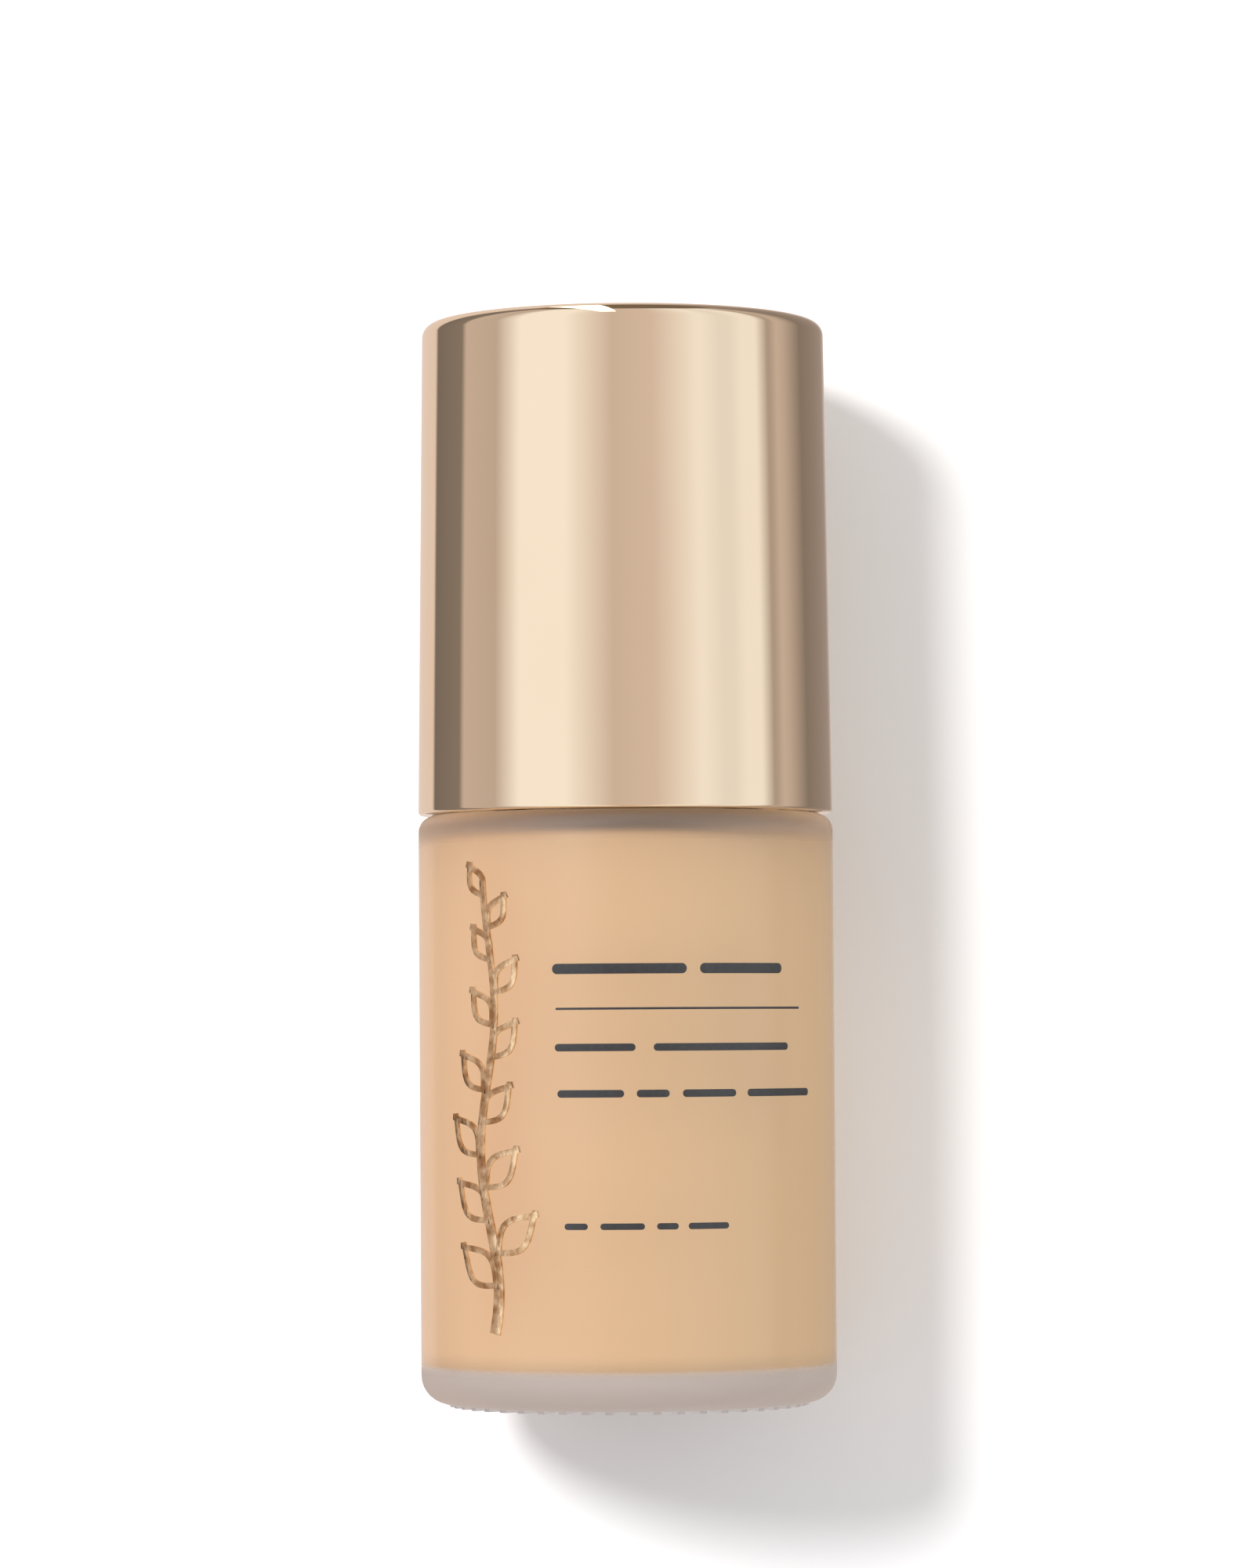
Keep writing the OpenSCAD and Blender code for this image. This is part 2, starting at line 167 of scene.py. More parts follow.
world = bpy.data.worlds.new("room")
bpy.context.scene.world = world
world.use_nodes = True
tree = world.node_tree
tree.nodes.clear()
direction = node(tree, "TexCoord").outputs["Generated"]
side = node(tree, "SeparateXYZ", {"Vector": direction}).outputs["X"]
share = node(tree, "MapRange", {"Value": side, "From Min": -1, "From Max": 1})
slope = node(tree, "VectorMath", {0: direction, 1: room_slope}, operation="DOT_PRODUCT")
level = node(tree, "Math", {0: slope.outputs["Value"], 1: room_strength})
tone = node(tree, "MixRGB", {
    "Fac": share.outputs["Result"], "Color1": linear("#F8F0F6"), "Color2": linear("#F7FAFA")})
air = node(tree, "Background", {"Color": tone.outputs["Color"], "Strength": level.outputs[0]})
node(tree, "OutputWorld", {"Surface": air.outputs["Background"]})

for name, strength in lamp_strengths.items():
    lamp_data = bpy.data.lights.new(name, "SUN")
    lamp_data.energy = strength
    lamp_data.angle = radians(13)
    lamp = bpy.data.objects.new(name, lamp_data)
    lamp.rotation_mode = "QUATERNION"
    lamp.rotation_quaternion = lamp_aim.to_track_quat("-Z", "Y")
    lamp.visible_glossy = False
    bpy.context.scene.collection.objects.link(lamp)
    lit = bpy.data.collections.new(name)
    lit.objects.link(card)
    lamp.light_linking.receiver_collection = lit
    if name == "bottle_lamp":
        lit.collection_objects[0].light_linking.link_state = "EXCLUDE"

# %% [markdown]
# A polished overcap shows what stands round it, so it needs something to show: wide soft panels
# to the left and right of the camera, dark flags beyond them, and the pale card behind. They are
# one upright drum of light round the bottle, whose colour depends on the direction. Only
# reflections see it. A panel runs from one angle to another, counted from the camera's side (0)
# to the right (+) or the left (-). It is white silk or tan card, and its two ends may be lit
# unequally. Between two panels the light fades from one to the next. The drum's lid is dark.

# %% Panels that the polished pieces reflect: (from, to, what it is, light at each end)
SILK, TAN = "#FFFBF9", "#FFEBE1"
PANELS = [
    (-180, -134, TAN, 0.8, 0.8),  # bounce from the card behind
    (-131, -104, TAN, 0.2, 0.25),  # flag on the left
    (-100, -76, TAN, 0.6, 0.55),  # side wall
    (-60, -33, SILK, 1.0, 1.0),  # window
    (-6, 16, TAN, 0.65, 0.7),  # the dimmer room round the camera
    (42, 45, SILK, 0.95, 0.95),  # first lit screen
    (56, 63, SILK, 0.85, 0.85),  # where the two screens meet
    (71, 81, SILK, 0.95, 0.95),  # second lit screen
    (90, 92, TAN, 0.45, 0.45),  # the screen's stand
    (98, 103, TAN, 0.6, 0.55),  # side wall
    (121, 158, TAN, 0.25, 0.35),  # flag on the right
    (179, 180, TAN, 0.8, 0.8)]  # bounce from the card behind
drum_r = 600 * MM
drum_foot, drum_lid = -800 * MM, 1800 * MM
lid_starts, lid_fade = 1250 * MM, 250 * MM
lid_colour = linear("#7A6A5C")

bm = bmesh.new()
bmesh.ops.create_cone(
    bm, cap_ends=True, segments=64, radius1=drum_r, radius2=drum_r, depth=drum_lid - drum_foot)
bmesh.ops.translate(bm, verts=bm.verts, vec=(0, 0, (drum_lid + drum_foot) / 2))
drum_mesh = bpy.data.meshes.new("light_drum")
bm.to_mesh(drum_mesh)
bm.free()
drum = bpy.data.objects.new("light_drum", drum_mesh)

glow, tree = new_material("light_drum")
place = node(tree, "SeparateXYZ", {"Vector": node(tree, "TexCoord").outputs["Object"]})
ahead = node(tree, "Math", {0: place.outputs["Y"], 1: -1}, operation="MULTIPLY")
angle = node(tree, "Math", {0: place.outputs["X"], 1: ahead.outputs[0]}, operation="ARCTAN2")
turn_share = node(tree, "MapRange", {"Value": angle.outputs[0], "From Min": -pi, "From Max": pi})
ramp = node(tree, "ValToRGB", {"Fac": turn_share.outputs["Result"]})
stops = ramp.color_ramp.elements
stops.remove(stops[1])
for start, end, hue, *lights in PANELS:
    for angle_deg, light in zip((start, end), lights):
        place_share = (angle_deg + 180) / 360
        stop = stops.new(place_share) if place_share else stops[0]
        stop.color = [channel * light for channel in linear(hue)[:3]] + [1]
lid_share = node(tree, "MapRange", {
    "Value": place.outputs["Z"], "From Min": lid_starts, "From Max": lid_starts + lid_fade})
seen = node(tree, "MixRGB", {
    "Fac": lid_share.outputs["Result"], "Color1": ramp.outputs["Color"], "Color2": lid_colour})
shine = node(tree, "Emission", {"Color": seen.outputs["Color"]})
node(tree, "OutputMaterial", {"Surface": shine.outputs["Emission"]})
drum_mesh.materials.append(glow)
print(len(PANELS), "panels and", len(stops), "stops round the drum")

# %% [markdown]
# One long strip light hangs over the bottle and runs away from the viewer. It is out of sight of
# the overcap's wall, and shows only in the rounded edge above it, as a short white glint.

# %% Strip light overhead
strip_z = 500 * MM
strip_x = (-125 * MM, -35 * MM)
strip_y = (-520 * MM, 150 * MM)

bm = bmesh.new()
bmesh.ops.create_grid(bm, x_segments=1, y_segments=1, size=0.5)
bmesh.ops.scale(bm, verts=bm.verts, vec=(strip_x[1] - strip_x[0], strip_y[1] - strip_y[0], 1))
bmesh.ops.translate(bm, verts=bm.verts, vec=(sum(strip_x) / 2, sum(strip_y) / 2, strip_z))
strip_mesh = bpy.data.meshes.new("strip_light")
bm.to_mesh(strip_mesh)
bm.free()
strip = bpy.data.objects.new("strip_light", strip_mesh)

tube_glow, tree = new_material("strip_light")
shine = node(tree, "Emission", {"Color": linear("#FFF6EC"), "Strength": 2.6})
node(tree, "OutputMaterial", {"Surface": shine.outputs["Emission"]})
strip_mesh.materials.append(tube_glow)

for panel, light_material in ((drum, glow), (strip, tube_glow)):
    bpy.context.scene.collection.objects.link(panel)
    panel.visible_camera = False
    panel.visible_diffuse = False
    panel.visible_shadow = False
    panel.visible_transmission = False
    light_material.cycles.emission_sampling = "NONE"

# %% [markdown]
# ## Turned shapes
#
# Nearly every piece here is round, so it is made the way a lathe or a split mould makes it: half
# an outline, spun once round the axis. The outline is drawn with sharp corners, and a corner may
# carry a third number, which is how far back along both of its sides the rounding starts. Bevel
# with a profile of 0.5 turns such a corner into an arc of a circle.


# %% Outline, spin and piece
def turned(corners, closed=False, steps=192, arc_steps=8):
    """A mesh made by spinning an outline of (radius, height[, rounding]), in mm, about Z."""
    made = bmesh.new()
    verts = [made.verts.new((c[0] * MM, 0, c[1] * MM)) for c in corners]
    for pair in zip(verts, verts[1:] + verts[:1] if closed else verts[1:]):
        made.edges.new(pair)
    for vert, corner in zip(verts, corners):
        if len(corner) > 2:
            bmesh.ops.bevel(
                made, geom=[vert], offset=corner[2] * MM, offset_type="OFFSET", affect="VERTICES",
                segments=arc_steps, profile=0.5, material=-1)
    bmesh.ops.spin(
        made, geom=made.verts[:] + made.edges[:], cent=(0, 0, 0), axis=(0, 0, 1), angle=tau,
        steps=steps, use_merge=True)
    bmesh.ops.remove_doubles(made, verts=made.verts, dist=0.0005 * MM)
    bmesh.ops.recalc_face_normals(made, faces=made.faces)
    return made


def piece(name, made, material, body, slot, *nodes, sharp_deg=32):
    """Makes a bmesh a piece that rides on a body and stands for CAD nodes. Its slot is not used."""
    mesh = bpy.data.meshes.new(name)
    made.to_mesh(mesh)
    made.free()
    mesh.materials.append(material)
    mesh.shade_smooth()
    mesh.set_sharp_from_angle(angle=radians(sharp_deg))
    obj = bpy.data.objects.new(name, mesh)
    bpy.context.scene.collection.objects.link(obj)
    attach(obj, body)
    if nodes:
        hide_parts(*nodes)
    low, high = Vector(obj.bound_box[0]), Vector(obj.bound_box[6])
    print(f"{name}: {len(mesh.polygons)} faces, {[round(x / MM, 2) for x in high - low]} mm")
    return obj


def box_mm(cad_node):
    """Lowest and highest corner of a CAD node, in mm."""
    return [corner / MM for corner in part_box(cad_node)]


# %% [markdown]
# ## Overcap
#
# The overcap is a cup of ABS with a slight taper, so that it leaves its mould. It is metallised
# in vacuum: a film of aluminium on a smooth lacquer, then a gold-tinted lacquer over it. The eye
# sees a mirror, softened a little by the waviness of the lacquer. The top edge is well rounded,
# and the lip is nearly sharp.

# %% Metallised ABS: a tinted mirror, with faint waves as long as lacquer leaves them
metallised, tree = new_material("vacuum_metallised_lacquered_abs")
place = node(tree, "TexCoord").outputs["Object"]
waves = node(tree, "TexNoise", {"Vector": place, "Scale": 1 / (9 * MM), "Detail": 1}).outputs["Fac"]
drift = node(tree, "TexNoise", {
    "Vector": place, "Scale": 1 / (25 * MM), "Detail": 2}).outputs["Fac"]
tint = node(tree, "MixRGB", {
    "Fac": drift, "Color1": linear("#F5E4C9"), "Color2": linear("#F7E9D2")})
haze = node(tree, "MapRange", {"Value": waves, "To Min": 0.02, "To Max": 0.06})
relief = node(tree, "Bump", {"Height": waves, "Distance": 0.002 * MM})
skin = node(tree, "BsdfPrincipled", {
    "Base Color": tint.outputs["Color"], "Metallic": 1.0, "Roughness": haze.outputs["Result"],
    "Normal": relief.outputs["Normal"]})
node(tree, "OutputMaterial", {"Surface": skin.outputs["BSDF"]})

# %% Overcap shell
cap_low, cap_high = box_mm("overcap_shell")
cap_r = cap_high.x
lip_z = cap_low.z - 0.14
cap_taper = 0.55
cap_wall = 1.3
overcap = turned([
    (0, cap_high.z), (cap_r - cap_taper, cap_high.z, 1.2), (cap_r, lip_z, 0.3),
    (cap_r - cap_wall, lip_z, 0.2), (cap_r - cap_taper - cap_wall, cap_high.z - cap_wall, 1.0),
    (0, cap_high.z - cap_wall)], steps=256)
piece("overcap_metal", overcap, metallised, "cap", "champagne_metallised_abs", "overcap_shell")

# %% [markdown]
# ## Glass bottle
#
# The bottle is blown glass, etched in acid until its outside is satin. The etched skin sends most
# light on, spread a little, and turns a small part back, which looks milky where the glass is
# thick and empty. In use the liquid wets the glass and no air lies between them, so the liquid
# seems to fill the bottle to its outline. The acid bites deepest at the base, so light soaks
# through there as through frost, and at the shoulder's edge, which is rougher than the wall. There
# the glass's colour is painted brown, as painted shade and a painted reflection of the gold lip
# over it.
# Here the wall laps 0.2 mm into the liquid, so that a view through the glass ends on the liquid
# itself. Lamps reach the liquid through the glass, because light that leaves it meets the inside
# of the glass as if it were clear.

# %% Etched glass: satin on the wall, milky at the base, and dull at the shoulder's edge, where painted brown shade and lip reflection are added
etched, tree = new_material("acid_etched_soda_lime_glass")
place = node(tree, "TexCoord").outputs["Object"]
grain = node(tree, "TexNoise", {
    "Vector": place, "Scale": 1 / (2.5 * MM), "Detail": 3}).outputs["Fac"]
height = node(tree, "SeparateXYZ", {"Vector": place}).outputs["Z"]
above_base = node(tree, "MapRange", {
    "Value": height, "From Min": 3.05 * MM, "From Max": 3.9 * MM}).outputs["Result"]
on_shoulder = node(tree, "MapRange", {
    "Value": height, "From Min": 49.5 * MM, "From Max": 51.0 * MM, "To Max": 0.3}).outputs["Result"]
milk = node(tree, "MixRGB", {
    "Fac": above_base, "Color1": linear("#C2BBB6"), "Color2": linear("#F3EDE9")})
# Near the shoulder's edge the glass's colour is painted brown: painted shade and a painted
# reflection of the overcap's gold lip.
milk_with_painted_lip_shade = node(tree, "MixRGB", {
    "Fac": on_shoulder, "Color1": milk.outputs["Color"], "Color2": linear("#B48C58")})
clarity = node(tree, "MapRange", {"Value": above_base, "To Min": 0.3, "To Max": 0.92})
wall_satin = node(tree, "MapRange", {"Value": grain, "To Min": 0.18, "To Max": 0.24})
base_satin = node(tree, "MapRange", {"Value": above_base, "To Min": 0.22, "To Max": 0.0})
satin = node(tree, "Math", {0: wall_satin.outputs["Result"], 1: base_satin.outputs["Result"]})
satin = node(tree, "Math", {0: satin.outputs[0], 1: on_shoulder})
glass = node(tree, "BsdfPrincipled", {
    "Base Color": milk_with_painted_lip_shade.outputs["Color"], "Roughness": satin.outputs[0], "IOR": 1.52,
    "Transmission Weight": clarity.outputs["Result"]})
frost = node(tree, "BsdfTranslucent", {"Color": linear("#D5D5D7")})
frost_share = node(tree, "MapRange", {"Value": above_base, "To Min": 0.7, "To Max": 0.0})
frosted = node(tree, "MixShader", {
    0: frost_share.outputs["Result"], 1: glass.outputs["BSDF"], 2: frost.outputs["BSDF"]})
way_out = node(tree, "BsdfTransparent", {"Color": linear("#F2EEEC")})
path = node(tree, "LightPath")
from_liquid = node(tree, "Math", {
    0: path.outputs["Is Shadow Ray"], 1: path.outputs["Is Diffuse Ray"]}, operation="MAXIMUM")
from_inside = node(tree, "Math", {
    0: from_liquid.outputs[0], 1: node(tree, "NewGeometry").outputs["Backfacing"]},
    operation="MULTIPLY")
mixed = node(tree, "MixShader", {
    0: from_inside.outputs[0], 1: frosted.outputs["Shader"], 2: way_out.outputs["BSDF"]})
node(tree, "OutputMaterial", {"Surface": mixed.outputs["Shader"]})

# %% Bottle body
glass_high = box_mm("glass_bottle")[1]
fill_low, fill_high = box_mm("foundation_fill")
outer_r = glass_high.x
shoulder_z = cap_low.z - 0.2
bearing_z = 0.25
neck_r, bore_r = 8.9, 6.0
lap = 0.2
wet_r = fill_high.x - lap
cavity_floor = fill_low.z + lap
cavity_top = shoulder_z - 1.85
knurl_bars = 48
steps_per_bar = 6

bottle = turned([
    (0, 1.05), (12.8, 1.05, 0.4), (13.4, bearing_z, 0.15), (14.0, bearing_z), (15.9, bearing_z),
    (outer_r, bearing_z, 2.5), (outer_r, shoulder_z, 1.5), (neck_r, shoulder_z, 0.8),
    (neck_r, glass_high.z, 0.7), (bore_r, glass_high.z, 0.5), (bore_r, cavity_top, 0.6),
    (wet_r, cavity_top, 1.0), (wet_r, cavity_floor, 1.8), (0, cavity_floor)],
    steps=knurl_bars * steps_per_bar)

# %% [markdown]
# The bottle stands on a ring of 48 short bars, which keep it off the wet glass of the lehr belt.
# The ring already has six faces for each bar, so two of every six are pulled down.

# %% Knurl under the base
bars = []
for face in bottle.faces:
    centre = face.calc_center_median() / MM
    on_ring = face.normal.z < -0.99 and 13.9 < hypot(centre.x, centre.y) < 16.0
    step = degrees(atan2(centre.y, centre.x)) % (360 / knurl_bars)
    if on_ring and step < 2 / steps_per_bar * 360 / knurl_bars:
        bars.append(face)
grown = bmesh.ops.extrude_face_region(bottle, geom=bars)
tips = [g for g in grown["geom"] if isinstance(g, bmesh.types.BMVert)]
bmesh.ops.translate(bottle, verts=tips, vec=(0, 0, -bearing_z * MM))
bmesh.ops.delete(bottle, geom=bars, context="FACES")
bmesh.ops.recalc_face_normals(bottle, faces=bottle.faces)
print(len(bars), "faces pulled down for", knurl_bars, "bars")

bottle_glass = piece(
    "bottle_glass", bottle, etched, "bottle", "frosted_glass", "glass_bottle", sharp_deg=50)

# %% [markdown]
# The neck carries one and a quarter turns of thread. A ridge's section is spun with a rise, its
# ends are sunk back into the neck, and a Boolean joins it to the bottle as one skin.

# %% Neck thread
thread_z, thread_pitch, thread_turns = shoulder_z + 4.5, 3.175, 1.25
thread_r, thread_root_r = 9.9, 8.6
thread_steps = 60
fade_turns = 0.12

ridge = bmesh.new()
section = [ridge.verts.new((r * MM, 0, (thread_z + dz) * MM)) for r, dz in (
    (thread_root_r, -1.1), (thread_r, -0.5), (thread_r, 0.5), (thread_root_r, 1.1))]
ridge.faces.new(section)
bmesh.ops.spin(
    ridge, geom=ridge.verts[:] + ridge.edges[:] + ridge.faces[:], cent=(0, 0, 0), axis=(0, 0, 1),
    angle=tau * thread_turns, steps=thread_steps,
    dvec=(0, 0, thread_pitch * thread_turns / thread_steps * MM))
for vert in ridge.verts:
    share = atan2(vert.co.y, vert.co.x) / tau
    climbed = (vert.co.z / MM - thread_z) / thread_pitch
    along = share + round(climbed - share)
    left = min(along, thread_turns - along) / fade_turns
    r = hypot(vert.co.x, vert.co.y)
    sunk = thread_root_r * MM + (r - thread_root_r * MM) * max(0.05, min(1, left))
    vert.co.xy *= sunk / r
bmesh.ops.recalc_face_normals(ridge, faces=ridge.faces)
ridge_mesh = bpy.data.meshes.new("ridge")
ridge.to_mesh(ridge_mesh)
ridge.free()
ridge_tool = bpy.data.objects.new("ridge", ridge_mesh)
bpy.context.scene.collection.objects.link(ridge_tool)

join = bottle_glass.modifiers.new("join", "BOOLEAN")
join.operation, join.solver, join.object = "UNION", "EXACT", ridge_tool
joined = bottle_glass.evaluated_get(bpy.context.evaluated_depsgraph_get())
bottle_glass.data = bpy.data.meshes.new_from_object(joined)
bottle_glass.modifiers.clear()
bpy.data.objects.remove(ridge_tool)
bottle_glass.data.set_sharp_from_angle(angle=radians(50))
print("with its thread the glass has", len(bottle_glass.data.polygons), "faces")

# %% [markdown]
# ## Foundation
#
# The liquid is an emulsion of oils and water with fine mineral pigment. It is opaque and quite
# smooth. It never mixes quite evenly, so its colour drifts a little over a centimetre or so.

# %% Pigmented emulsion
emulsion, tree = new_material("pigmented_oil_in_water_emulsion")
place = node(tree, "TexCoord").outputs["Object"]
cloud = node(tree, "TexNoise", {
    "Vector": place, "Scale": 1 / (13 * MM), "Detail": 2}).outputs["Fac"]
pigment = node(tree, "MixRGB", {
    "Fac": cloud, "Color1": linear("#EFC893"), "Color2": linear("#F2CC99")})
cream = node(tree, "BsdfPrincipled", {
    "Base Color": pigment.outputs["Color"], "Roughness": 0.5, "IOR": 1.38,
    "Specular IOR Level": 0.15})
node(tree, "OutputMaterial", {"Surface": cream.outputs["BSDF"]})

# %% Liquid: it dips towards the pump, and a film of it still clings under the shoulder
surface_z = cavity_top - 5.1
film_r = 7.0
pump_r = 4.7
liquid = turned([
    (0, fill_low.z), (fill_high.x, fill_low.z, 1.9), (fill_high.x, cavity_top + 0.1, 0.7),
    (film_r, cavity_top + 0.1), (film_r, cavity_top - 0.3), (13.6, cavity_top - 0.3, 0.3),
    (12.4, surface_z + 1.6, 1.2), (pump_r, surface_z, 0.3), (pump_r, 43), (2.8, 43), (2.8, 36),
    (1.75, 36), (1.75, 6), (0, 6)])
piece("foundation_liquid", liquid, emulsion, "bottle", "foundation", "foundation_fill")

# %% [markdown]
# ## Print on the glass
#
# The front carries two kinds of print, both raised a little from the glass: a gold sprig that is
# hot-stamped as foil, and lines of thick grey enamel that a screen leaves. The lines are plain
# bars and the sprig is a plain plant, so that the part says nothing about who made it. Each is
# drawn flat, where X is a length round the bottle, Y is a height and Z is a thickness, and is
# then wrapped on the glass. The etched wall spreads light so widely that thin print throws no
# shadow on the liquid behind it, so neither print casts one.


# %% Wrapping a flat drawing on the bottle
def wrapped(flat):
    """Bends a flat drawing, in mm, round the bottle. X = 0 faces the camera."""
    for vert in flat.verts:
        along, height, proud = vert.co
        r = outer_r + proud
        turn = along / outer_r
        vert.co = Vector((r * sin(turn), -r * cos(turn), height)) * MM
    return flat


# %% Screen-printed enamel: a glossy resin with fine pigment, thick enough to catch the light
enamel, tree = new_material("screen_printed_grey_enamel")
place = node(tree, "TexCoord").outputs["Object"]
mesh_marks = node(tree, "TexNoise", {
    "Vector": place, "Scale": 1 / (0.4 * MM), "Detail": 2}).outputs["Fac"]
grey = node(tree, "MixRGB", {
    "Fac": mesh_marks, "Color1": linear("#303133"), "Color2": linear("#424447")})
relief = node(tree, "Bump", {"Height": mesh_marks, "Distance": 0.01 * MM})
resin = node(tree, "BsdfPrincipled", {
    "Base Color": grey.outputs["Color"], "Roughness": 0.28, "IOR": 1.5,
    "Normal": relief.outputs["Normal"]})
node(tree, "OutputMaterial", {"Surface": resin.outputs["BSDF"]})

# %% Bars of enamel. A row is (height of its middle, thickness of the bar, [(from, to), ...])
BAR_ROWS = [
    (38.6, 0.9, [(-6.57, 5.28), (6.5, 15.1)]),
    (35.15, 0.2, [(-6.28, 17.5)]),
    (31.8, 0.66, [(-6.36, 0.74), (2.31, 15.87)]),
    (27.8, 0.66, [(-6.14, -0.27), (0.81, 3.68), (4.86, 9.88), (11.1, 18.9)]),
    (16.35, 0.56, [(-5.56, -3.5), (-2.4, 1.45), (2.5, 4.4), (5.3, 9.07)])]
ink_thickness = 0.09

printing = bmesh.new()
for height, thick, spans in BAR_ROWS:
    for start, end in spans:
        made = bmesh.ops.create_grid(
            printing, x_segments=max(2, round((end - start) / 0.5)), y_segments=2, size=0.5)
        bmesh.ops.scale(printing, verts=made["verts"], vec=(end - start, thick, 1))
        bmesh.ops.translate(printing, verts=made["verts"], vec=((start + end) / 2, height, 0))
        corners = [v for v in made["verts"] if len(v.link_edges) == 2]
        bmesh.ops.bevel(
            printing, geom=corners, offset=0.48 * thick, offset_type="OFFSET", affect="VERTICES",
            segments=5, profile=0.5, material=-1)
raised = bmesh.ops.extrude_face_region(printing, geom=printing.faces[:])
tops = [g for g in raised["geom"] if isinstance(g, bmesh.types.BMVert)]
bmesh.ops.translate(printing, verts=tops, vec=(0, 0, ink_thickness))
bmesh.ops.recalc_face_normals(printing, faces=printing.faces)
rims = [e for e in printing.edges if e.is_manifold and e.calc_face_angle() > 1
        and min(v.co.z for v in e.verts) > ink_thickness / 2]
bmesh.ops.bevel(
    printing, geom=rims, offset=0.03, offset_type="OFFSET", affect="EDGES", segments=2,
    profile=0.5, material=-1)
bmesh.ops.translate(printing, verts=printing.verts, vec=(0, 0, -0.01))
enamel_print = piece("printed_lines", wrapped(printing), enamel, "bottle", "grey_ink")
enamel_print.visible_shadow = False

# %% [markdown]
# The sprig is a stem that sways from side to side and thins towards its tip, with leaves drawn as
# outlines, as a pen would draw them. The stem starts as a narrow grid that is bent to its path. A
# leaf starts as a circle that is pulled to a point at each end, and an inset leaves only its rim.
# The foil is raised, and its edges are rounded, so that they catch light that the flat misses.

# %% Hot-stamped foil: gold that follows the etched glass, so it glitters in small patches, and its colour is painted light and dark there as painted glints
foil, tree = new_material("hot_stamped_gold_foil")
place = node(tree, "TexCoord").outputs["Object"]
patches = node(tree, "TexNoise", {
    "Vector": place, "Scale": 1 / (1.1 * MM), "Detail": 2}).outputs["Fac"]
# The same patches paint the foil's colour dark and light gold. These are painted glints and painted
# reflection, on top of the real glitter from the bump and roughness.
bright = node(tree, "MapRange", {"Value": patches, "From Min": 0.34, "From Max": 0.66})
gold_with_painted_glints = node(tree, "MixRGB", {
    "Fac": bright.outputs["Result"], "Color1": linear("#BA9066"), "Color2": linear("#FADFB8")})
sheen = node(tree, "MapRange", {"Value": patches, "To Min": 0.1, "To Max": 0.22})
relief = node(tree, "Bump", {"Height": patches, "Distance": 0.11 * MM})
leaf_metal = node(tree, "BsdfPrincipled", {
    "Base Color": gold_with_painted_glints.outputs["Color"], "Metallic": 1.0, "Roughness": sheen.outputs["Result"],
    "Normal": relief.outputs["Normal"]})
node(tree, "OutputMaterial", {"Surface": leaf_metal.outputs["BSDF"]})

# %% Sprig
sprig_x = -13.1
sprig_foot, sprig_tip = 7.0, 46.4
sway, sway_waves, sway_start = 1.15, 1.6, 0.6
stem_tip_w, stem_flare = 0.62, 0.5
leaf_count = 13
leaf_low, leaf_high = 0.1, 0.96
leaf_length, leaf_shrink = 6.3, 2.6
leaf_lean_deg, lean_loss_deg = 52, 22
leaf_fullness, leaf_point = 0.25, 0.03
leaf_rim = 0.52
foil_thickness, foil_edge = 0.2, 0.18


def stem_point(share):
    """The stem's middle at a share of its length, in the flat drawing."""
    height = sprig_foot + (sprig_tip - sprig_foot) * share
    swing = sway * (1 - 0.5 * share) * sin(share * sway_waves * tau + sway_start)
    return Vector((sprig_x + swing, height, 0))


sprig = bmesh.new()
made = bmesh.ops.create_grid(sprig, x_segments=2, y_segments=150, size=0.5)
for vert in made["verts"]:
    across, share = vert.co.x, vert.co.y + 0.5
    here, ahead = stem_point(share), stem_point(share + 0.01)
    direction = (ahead - here).normalized()
    width = stem_tip_w + stem_flare * (1 - share) ** 1.5
    vert.co = here + Vector((direction.y, -direction.x, 0)) * across * width

for number in range(leaf_count):
    share = leaf_low + (leaf_high - leaf_low) * number / (leaf_count - 1)
    side = 1 if number % 2 else -1
    length = leaf_length - leaf_shrink * share
    lean = radians(leaf_lean_deg - lean_loss_deg * share) * side
    made = bmesh.ops.create_circle(sprig, cap_ends=True, segments=32, radius=1)
    for vert in made["verts"]:
        along = (vert.co.y + 1) / 2
        fullness = leaf_fullness * sin(pi * along ** 0.8) + leaf_point
        vert.co = Vector((vert.co.x * fullness * length, along * length, 0))
    bmesh.ops.rotate(sprig, verts=made["verts"], matrix=Matrix.Rotation(-lean, 3, "Z"))
    bmesh.ops.translate(sprig, verts=made["verts"], vec=stem_point(share))
    blade = made["verts"][0].link_faces[0]
    bmesh.ops.inset_individual(sprig, faces=[blade], thickness=leaf_rim)
    bmesh.ops.delete(sprig, geom=[blade], context="FACES_ONLY")
print(leaf_count, "leaves on a stem", round(sprig_tip - sprig_foot, 1), "mm tall")

raised = bmesh.ops.extrude_face_region(sprig, geom=sprig.faces[:])
tops = [g for g in raised["geom"] if isinstance(g, bmesh.types.BMVert)]
bmesh.ops.translate(sprig, verts=tops, vec=(0, 0, foil_thickness))
bmesh.ops.recalc_face_normals(sprig, faces=sprig.faces)
rims = [e for e in sprig.edges if e.is_manifold and e.calc_face_angle() > 1
        and min(v.co.z for v in e.verts) > foil_thickness / 2]
bmesh.ops.bevel(
    sprig, geom=rims, offset=foil_edge, offset_type="OFFSET", affect="EDGES", segments=3,
    profile=0.5, material=-1, clamp_overlap=True)
bmesh.ops.translate(sprig, verts=sprig.verts, vec=(0, 0, -0.01))
gold_print = piece("foil_sprig", wrapped(sprig), foil, "bottle", "gold_foil")
gold_print.visible_shadow = False

# %% [markdown]
# ## Pump: collar and actuator
#
# Under the overcap sits a treatment pump. Its collar is a cup of thin aluminium, drawn in a press,
# polished and anodised champagne gold, and pressed over the threaded closure. Its actuator, which
# a finger presses, is white ABS: a smooth cover with a shallow dish, and a short spout.

